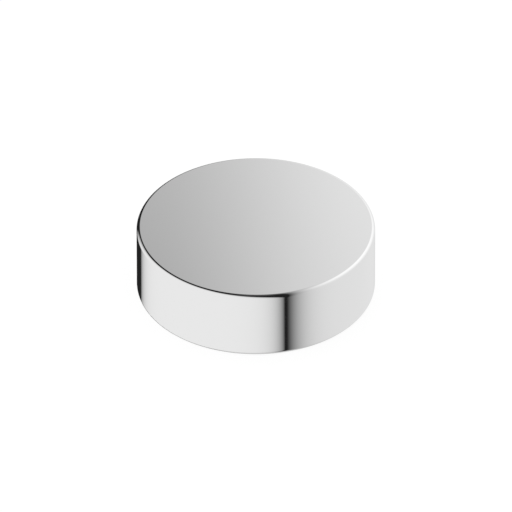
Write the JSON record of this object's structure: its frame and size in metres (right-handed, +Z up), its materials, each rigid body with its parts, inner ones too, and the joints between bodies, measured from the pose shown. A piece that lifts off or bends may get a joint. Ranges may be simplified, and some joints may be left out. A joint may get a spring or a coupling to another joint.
{
  "type": "dealer button",
  "caption": "Round flat puck with a mirror-bright metal finish, plain faces and rounded edges, which marks the dealer at a card table.",
  "frame": {"origin": "centre of the underside, on the surface that the button lies on", "axes": "+Z is up, out of the top face, along the button's axis of symmetry; X and Y lie in the underside and are interchangeable"},
  "size_m": [0.05, 0.05, 0.0153],
  "materials": {
    "bright_plate": "polished",
    "steel": "satin",
    "moulded_plastic": "matte",
    "foam": "matte"
  },
  "bodies": {
    "root": {"shell": "bright_plate", "base_plate": "bright_plate", "weight_slug": "steel", "centring_ring": "moulded_plastic", "upper_pad": "foam", "lower_pad": "foam"}
  },
  "joints": []
}
